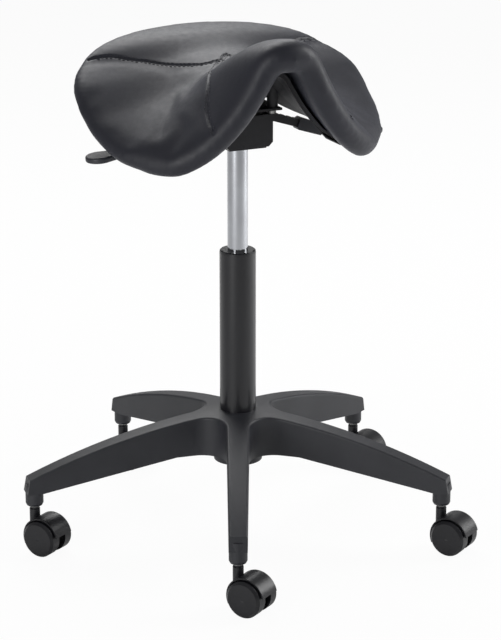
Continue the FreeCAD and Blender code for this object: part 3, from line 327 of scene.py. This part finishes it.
def zinc_plate():
    material, shader = new_material("zinc_plate", 0.3, 1.0)
    point = object_point(material)
    fine = noise(material, point, ZINC_SPANGLE, 3.0)
    mottled(material, shader, noise(material, point, 60.0), ZINC_DULL, ZINC)
    varied_roughness(material, shader, fine, 0.26, 0.40)
    bumped(material, shader, [(fine, 0.0001, 0.2)])
    return material


def sewing_thread():
    material, shader = new_material("sewing_thread", 0.5)
    point = object_point(material)
    twist = noise(material, point, THREAD_TWIST, 2.0)
    mottled(material, shader, twist, THREAD, LEATHER_LIGHT)
    bumped(material, shader, [(twist, 0.0003, 0.4)])
    return material


def bump_rubber():
    material, shader = new_material("bump_rubber", 0.7)
    point = object_point(material)
    fine = noise(material, point, RUBBER_GRAIN, 2.0)
    mottled(material, shader, fine, RUBBER_DARK, RUBBER_LIGHT)
    bumped(material, shader, [(fine, 0.0002, 0.3)])
    return material


LEATHER = synthetic_leather()
NYLON = moulded_plastic("charcoal_nylon", NYLON_DARK, NYLON_LIGHT, 0.46, 1400.0, 0.0004)
CASTOR_NYLON = moulded_plastic("castor_nylon", CASTOR_DARK, CASTOR_LIGHT, 0.36, 1600.0, 0.0002)
GRIP = moulded_plastic("grip_plastic", GRIP_DARK, GRIP_LIGHT, 0.42, 1200.0, 0.0003)
ARM_PLASTIC = moulded_plastic("lever_plastic", CASTOR_DARK, POWDER_LIGHT, 0.42, 1200.0, 0.0003)
COVER = moulded_plastic("cover_plastic", COVER_DARK, COVER_LIGHT, 0.55, 900.0, 0.0005)
BUSH = moulded_plastic("bush_plastic", CASTOR_DARK, CASTOR_LIGHT, 0.3, 900.0, 0.0002)
POWDER = powder_coat()
TUBE_LACQUER = black_lacquer()
COLUMN_CHROME = polished_chrome()
ZINC_PLATE = zinc_plate()
STITCHING = sewing_thread()
RUBBER = bump_rubber()

FINISHES = {
    "base_nylon": NYLON,
    "zinc_steel": ZINC_PLATE,
    "black_lacquer": TUBE_LACQUER,
    "bush_plastic": BUSH,
    "column_chrome": COLUMN_CHROME,
    "bump_rubber": RUBBER,
    "housing_black": POWDER,
    "lever_black": ARM_PLASTIC,
    "lever_grip": GRIP,
    "shell_plastic": COVER,
    "cover_plastic": COVER,
    "seat_leatherette": LEATHER,
    "castor_black": CASTOR_NYLON,
    "wheel_black": CASTOR_NYLON,
}


def finish_cad_nodes():
    """Gives each CAD piece its material. The stems show black in the photograph."""
    for part in frame["record"]["subparts"]:
        piece = nodes[part["node"]]
        piece.data.materials.clear()
        piece.data.materials.append(FINISHES[part["material_slot"]])
    for number in range(1, 6):
        nodes["stem_%d" % number].data.materials[0] = POWDER


# Saddle form


def section_slope(i, column):
    """The slope of one listed value along the seat, flat where the value turns round."""
    rows = SADDLE_SECTIONS
    last = len(rows) - 1
    if i == 0 or i == last:
        near = min(i, last - 1)
        rise = rows[near + 1][column] - rows[near][column]
        return rise / (rows[near + 1][0] - rows[near][0])
    before = (rows[i][column] - rows[i - 1][column]) / (rows[i][0] - rows[i - 1][0])
    after = (rows[i + 1][column] - rows[i][column]) / (rows[i + 1][0] - rows[i][0])
    if before * after <= 0:
        return 0.0
    return 2 * before * after / (before + after)


def section_at(y):
    rows = SADDLE_SECTIONS
    i = 0
    while i < len(rows) - 2 and y > rows[i + 1][0]:
        i += 1
    span = rows[i + 1][0] - rows[i][0]
    t = min(1.0, max(0.0, (y - rows[i][0]) / span))
    values = []
    for column in range(1, len(rows[0])):
        value = (2 * t**3 - 3 * t**2 + 1) * rows[i][column]
        value += (t**3 - 2 * t**2 + t) * span * section_slope(i, column)
        value += (3 * t**2 - 2 * t**3) * rows[i + 1][column]
        value += (t**3 - t**2) * span * section_slope(i + 1, column)
        values.append(value)
    return values


def flank_arc(crown_z, half_width, edge_z, crown_r, slope):
    """The angle where the crown arc ends and the radius of the flank arc that follows it."""
    low = slope + 0.01
    high = math.radians(STEEPEST_TURN)
    for _ in range(SOLVER_STEPS):
        turn = (low + high) / 2
        flank_r = (half_width - crown_r * math.sin(turn)) / (math.sin(turn) - math.sin(slope))
        drop = crown_r * (1 - math.cos(turn)) + flank_r * (math.cos(slope) - math.cos(turn))
        if drop < crown_z - edge_z:
            low = turn
        else:
            high = turn
    return turn, flank_r


def saddle_height(x, section):
    """Height of the saddle's top over the plan point, from that place's section."""
    crown_z, crown_r, slope, turn, flank_r = section
    x = abs(x)
    join = crown_r * math.sin(turn)
    if x < join:
        return crown_z - crown_r + math.sqrt(crown_r**2 - x**2)
    share = math.sin(turn) - (x - join) / flank_r
    end = math.sin(slope)
    level = max(share, end)
    z = crown_z - crown_r * (1 - math.cos(turn))
    z -= flank_r * (math.sqrt(1 - level**2) - math.cos(turn))
    return z - max(0.0, end - share) * flank_r * math.tan(slope)


def prepared_section(y):
    crown_z, half_width, edge_z, crown_r, edge_deg = section_at(y)
    slope = math.radians(edge_deg)
    turn, flank_r = flank_arc(crown_z, half_width, edge_z, crown_r, slope)
    return crown_z, crown_r, slope, turn, flank_r


def saddle_top(x, y):
    return Vector((x, y, saddle_height(x, prepared_section(y))))


def saddle_normal(x, y):
    step = 1.0
    here = prepared_section(y)
    rise_x = (saddle_height(x + step, here) - saddle_height(x - step, here)) / (2 * step)
    ahead = saddle_height(x, prepared_section(y + step))
    behind = saddle_height(x, prepared_section(y - step))
    return Vector((-rise_x, -(ahead - behind) / (2 * step), 1.0)).normalized()


def plan_point(angle, inset):
    """A point of the seat's plan outline, moved in by the inset."""
    c = math.cos(angle)
    s = math.sin(angle)
    reach = PLAN_FRONT if s < 0 else PLAN_REAR
    power = PLAN_FRONT_POWER if s < 0 else PLAN_REAR_POWER
    x = (PLAN_HALF_WIDTH - inset) * math.copysign(abs(c) ** (2 / power), c)
    y = (reach - inset) * math.copysign(abs(s) ** (2 / power), s)
    return x, PLAN_CENTRE_Y + y


def edge_thickness(x, y):
    """Depth of the rolled edge: thin over the levers, deeper in front, deepest at the pommel."""
    front = min(1.0, max(0.0, (FRONT_EDGE_Y - y) / EDGE_RAMP))
    pommel = min(1.0, max(0.0, (POMMEL_START_Y - y) / EDGE_RAMP))
    pommel *= math.exp(-((x / POMMEL_WIDTH) ** 2))
    edge = SIDE_EDGE_THICKNESS + (FRONT_EDGE_THICKNESS - SIDE_EDGE_THICKNESS) * front
    return edge + POMMEL_EXTRA * pommel


def crease_point(angle):
    """The plan point where the top turns into the rolled edge."""
    x, y = plan_point(angle, 0.0)
    return plan_point(angle, edge_thickness(x, y) / 2)


def saddle_rings():
    """Closed rings of points from the crown, over the rolled edge, to the underside."""
    around = RING_POINTS
    crease = [crease_point(2 * math.pi * (k + 0.5) / around) for k in range(around)]
    shares = [1 - (1 - (i + 1) / TOP_RINGS) ** RING_CROWDING for i in range(TOP_RINGS)]
    top = []
    under = []
    for share in shares:
        ring = []
        low_ring = []
        for x, y in crease:
            px = x * share
            py = PLAN_CENTRE_Y + (y - PLAN_CENTRE_Y) * share
            point = saddle_top(px, py)
            normal = saddle_normal(px, py)
            rim = edge_thickness(x, y)
            depth = rim * share**2 + MIDDLE_THICKNESS * (1 - share**2)
            ring.append(point + normal * PAD_SWELL * (1 - share**4))
            low_ring.append(point - normal * depth)
        top.append(ring)
        under.append(low_ring)
    rolled = []
    for step in range(1, ROLL_STEPS):
        turn = math.pi * step / ROLL_STEPS
        ring = []
        for k, (x, y) in enumerate(crease):
            ahead = crease[(k + 1) % around]
            behind = crease[k - 1]
            outward = Vector((ahead[1] - behind[1], behind[0] - ahead[0], 0.0)).normalized()
            normal = saddle_normal(x, y)
            outward = (outward - normal * outward.dot(normal)).normalized()
            half = edge_thickness(x, y) / 2
            centre = saddle_top(x, y) - normal * half
            ring.append(centre + (normal * math.cos(turn) + outward * math.sin(turn)) * half)
        rolled.append(ring)
    return top + rolled + under[::-1]


def mesh_from_rings(name, rings):
    around = len(rings[0])
    points = [p * MM for ring in rings for p in ring]
    faces = []
    for i in range(len(rings) - 1):
        for k in range(around):
            j = (k + 1) % around
            faces.append((i * around + k, (i + 1) * around + k, (i + 1) * around + j, i * around + j))
    first = list(range(around))
    last = [(len(rings) - 1) * around + k for k in range(around)]
    faces.append(first)
    faces.append(last[::-1])
    mesh = bpy.data.meshes.new(name)
    mesh.from_pydata(points, [], faces)
    mesh.update()
    piece = bpy.data.objects.new(name, mesh)
    bpy.context.scene.collection.objects.link(piece)
    return piece


def only(piece):
    """Makes one piece the selected and active one."""
    bpy.ops.object.select_all(action="DESELECT")
    piece.select_set(True)
    bpy.context.view_layer.objects.active = piece


def apply_modifier(piece, kind, **settings):
    modifier = piece.modifiers.new(kind.lower(), kind)
    for key, value in settings.items():
        setattr(modifier, key, value)
    only(piece)
    bpy.ops.object.modifier_apply(modifier=modifier.name)


def smooth_curve(points, steps):
    """Points along a curve that passes through the given ones."""
    line = [2 * points[0] - points[1]] + list(points) + [2 * points[-1] - points[-2]]
    result = []
    for i in range(1, len(line) - 2):
        a, b, c, d = line[i - 1 : i + 3]
        for step in range(steps):
            t = step / steps
            result.append(
                0.5
                * (
                    2 * b
                    + (c - a) * t
                    + (2 * a - 5 * b + 4 * c - d) * t**2
                    + (3 * b - a - 3 * c + d) * t**3
                )
            )
    result.append(line[-2])
    return result


def seam_line(plan, side):
    """A seam's points on the saddle's top, in metres, about a millimetre apart or less."""
    flat = smooth_curve([Vector((side * x, y)) for x, y in plan], SEAM_STEPS)
    return [saddle_top(p.x, p.y) * MM for p in flat]


def all_seams():
    seams = []
    for side in (-1, 1):
        seams.append(seam_line(POMMEL_SEAM, side))
        seams.append(seam_line(CANTLE_SEAM, side))
    return seams


def seam_tree(seams):
    points = [p for seam in seams for p in seam]
    tree = KDTree(len(points))
    for i, p in enumerate(points):
        tree.insert(p, i)
    tree.balance()
    return tree


def swell_pad(pad, tree):
    """Lets the foam push the cover out between the seams, then holds that shape."""
    start = [v.co.copy() for v in pad.data.vertices]
    held = pad.vertex_groups.new(name="held")
    for v in pad.data.vertices:
        distance = tree.find(v.co)[2] / MM
        grip = max(0.0, 1.0 - distance / SEAM_HOLD)
        if v.normal.z < -0.2:
            grip = 1.0
        held.add([v.index], grip, "REPLACE")
    cloth = pad.modifiers.new("swell", "CLOTH")
    cloth.settings.use_pressure = True
    cloth.settings.uniform_pressure_force = CLOTH_PRESSURE
    cloth.settings.vertex_group_mass = "held"
    cloth.settings.tension_stiffness = CLOTH_TENSION
    cloth.settings.bending_stiffness = CLOTH_BENDING
    cloth.settings.effector_weights.gravity = 0.0
    cloth.point_cache.frame_start = 1
    cloth.point_cache.frame_end = CLOTH_FRAMES
    for frame_number in range(1, CLOTH_FRAMES + 1):
        bpy.context.scene.frame_set(frame_number)
    only(pad)
    bpy.ops.object.modifier_apply(modifier="swell")
    bpy.context.scene.frame_set(1)
    for v, before in zip(pad.data.vertices, start):
        moved = v.co - before
        if moved.length > PAD_CAP * MM:
            v.co = before + moved.normalized() * PAD_CAP * MM
    pad.vertex_groups.clear()


def sink_seams(pad, tree):
    """Draws the cover down along the seams."""
    for v in pad.data.vertices:
        distance = tree.find(v.co)[2] / MM
        if distance < SEAM_REACH * SEAM_HALF_WIDTH and v.normal.z > -0.1:
            groove = math.exp(-((distance / SEAM_HALF_WIDTH) ** 2) * SEAM_SHARPNESS)
            v.co -= v.normal * SEAM_DEPTH * MM * groove


def make_saddle_pad():
    tree = seam_tree(all_seams())
    pad = mesh_from_rings("saddle_pad", saddle_rings())
    shape = pad.copy()
    shape.data = pad.data.copy()
    bpy.context.scene.collection.objects.link(shape)
    apply_modifier(pad, "REMESH", mode="VOXEL", voxel_size=PAD_VOXEL * MM)
    apply_modifier(pad, "SMOOTH", factor=0.5, iterations=FIRST_SMOOTHING)
    apply_modifier(pad, "SHRINKWRAP", target=shape, wrap_method="NEAREST_SURFACEPOINT")
    bpy.data.objects.remove(shape)
    swell_pad(pad, tree)
    apply_modifier(pad, "SMOOTH", factor=0.5, iterations=LAST_SMOOTHING)
    apply_modifier(pad, "SUBSURF", levels=1, render_levels=1)
    sink_seams(pad, tree)
    only(pad)
    bpy.ops.object.shade_smooth()
    pad.data.materials.append(LEATHER)
    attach(pad, "seat")
    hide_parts("seat_cushion")
    return pad


def stitch_row(maker, tree, seam, offset):
    """Short raised stitches beside a seam, each laid on the pad's surface."""
    travelled = 0.0
    following = 0.0
    for i in range(len(seam) - 1):
        step = seam[i + 1] - seam[i]
        length = step.length
        while following <= travelled + length:
            t = (following - travelled) / length
            along = step.normalized()
            here = seam[i] + step * t
            normal = tree.find_nearest(here)[1]
            across = normal.cross(along).normalized()
            place, normal = tree.find_nearest(here + across * offset * MM)[:2]
            add_stitch(maker, place, along, normal)
            following += STITCH_PITCH * MM
        travelled += length


def add_stitch(maker, place, along, normal):
    along = (along - normal * along.dot(normal)).normalized()
    across = normal.cross(along)
    half = STITCH_LENGTH / 2 * MM
    rings = []
    for share, swell in STITCH_PROFILE:
        lift = (1 - share**2) * STITCH_LIFT * MM
        centre = place + along * half * share + normal * lift
        ring = []
        for k in range(STITCH_SIDES):
            angle = 2 * math.pi * k / STITCH_SIDES
            radius = STITCH_RADIUS * MM * swell
            point = centre + (across * math.cos(angle) + normal * math.sin(angle)) * radius
            ring.append(maker.verts.new(point))
        rings.append(ring)
    for first, second in zip(rings, rings[1:]):
        for k in range(STITCH_SIDES):
            j = (k + 1) % STITCH_SIDES
            maker.faces.new((first[k], first[j], second[j], second[k]))
    maker.faces.new(rings[0][::-1])
    maker.faces.new(rings[-1])


def make_stitching(pad):
    depsgraph = bpy.context.evaluated_depsgraph_get()
    tree = BVHTree.FromObject(pad, depsgraph)
    maker = bmesh.new()
    for seam in all_seams():
        stitch_row(maker, tree, seam, STITCH_OFFSET)
        stitch_row(maker, tree, seam, -STITCH_OFFSET)
    bmesh.ops.recalc_face_normals(maker, faces=maker.faces)
    mesh = bpy.data.meshes.new("saddle_stitching")
    maker.to_mesh(mesh)
    maker.free()
    stitching = bpy.data.objects.new("saddle_stitching", mesh)
    bpy.context.scene.collection.objects.link(stitching)
    only(stitching)
    bpy.ops.object.shade_smooth()
    mesh.materials.append(STITCHING)
    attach(stitching, "seat")


# Camera, floor and lights


def set_camera():
    data = bpy.data.cameras.new("view")
    data.sensor_width = SENSOR_WIDTH
    data.lens = CAMERA_LENS
    camera = bpy.data.objects.new("view", data)
    bpy.context.scene.collection.objects.link(camera)
    turn = math.radians(CAMERA_AZIMUTH)
    camera.location = (
        CAMERA_DISTANCE * math.sin(turn),
        -CAMERA_DISTANCE * math.cos(turn),
        CAMERA_HEIGHT,
    )
    camera.rotation_euler = (
        math.radians(90 - CAMERA_PITCH),
        0.0,
        math.radians(CAMERA_AZIMUTH - CAMERA_YAW),
    )
    bpy.context.scene.camera = camera


def shown_white(material, seen):
    """Shows plain white to the camera for that share. Only the rest shows the shadow."""
    tree = material.node_tree
    output = tree.nodes["Material Output"]
    shader = tree.nodes["Principled BSDF"]
    glow = tree.nodes.new("ShaderNodeEmission")
    glow.inputs["Color"].default_value = (*WHITE, 1.0)
    glow.inputs["Strength"].default_value = 1.0
    path = tree.nodes.new("ShaderNodeLightPath")
    mix = tree.nodes.new("ShaderNodeMixShader")
    share = tree.nodes.new("ShaderNodeMath")
    share.operation = "MULTIPLY"
    share.inputs[1].default_value = seen
    tree.links.new(path.outputs["Is Camera Ray"], share.inputs[0])
    tree.links.new(share.outputs["Value"], mix.inputs["Fac"])
    tree.links.new(shader.outputs["BSDF"], mix.inputs[1])
    tree.links.new(glow.outputs["Emission"], mix.inputs[2])
    tree.links.new(mix.outputs["Shader"], output.inputs["Surface"])


def make_floor():
    bpy.ops.object.select_all(action="DESELECT")
    bpy.ops.mesh.primitive_plane_add(size=FLOOR_SIZE, location=(0.0, 0.0, 0.0))
    floor = bpy.context.object
    floor.name = "studio_floor"
    material, shader = new_material("studio_floor", 0.9)
    shader.inputs["Base Color"].default_value = (*FLOOR_GREY, 1.0)
    shown_white(material, FLOOR_SHOWN_WHITE)
    floor.data.materials.append(material)


def area_light(name, place, target, width, height, power):
    data = bpy.data.lights.new(name, "AREA")
    data.shape = "RECTANGLE"
    data.size = width
    data.size_y = height
    data.energy = power
    light = bpy.data.objects.new(name, data)
    bpy.context.scene.collection.objects.link(light)
    light.location = place
    light.rotation_euler = (Vector(target) - Vector(place)).to_track_quat("-Z", "Y").to_euler()


def set_lights():
    world = bpy.data.worlds.new("studio")
    bpy.context.scene.world = world
    world.use_nodes = True
    tree = world.node_tree
    back = tree.nodes["Background"]
    back.inputs["Color"].default_value = (*WHITE, 1.0)
    back.inputs["Strength"].default_value = WORLD_STRENGTH
    seen = tree.nodes.new("ShaderNodeBackground")
    seen.inputs["Color"].default_value = (*WHITE, 1.0)
    seen.inputs["Strength"].default_value = 1.0
    path = tree.nodes.new("ShaderNodeLightPath")
    mix = tree.nodes.new("ShaderNodeMixShader")
    tree.links.new(path.outputs["Is Camera Ray"], mix.inputs["Fac"])
    tree.links.new(back.outputs["Background"], mix.inputs[1])
    tree.links.new(seen.outputs["Background"], mix.inputs[2])
    tree.links.new(mix.outputs["Shader"], tree.nodes["World Output"].inputs["Surface"])
    for name, place, width, height, power in LAMPS:
        area_light(name, place, LAMP_TARGET, width, height, power)


bpy.context.scene.view_settings.view_transform = "Standard"
set_camera()
finish_cad_nodes()
saddle = make_saddle_pad()
make_stitching(saddle)
make_floor()
set_lights()
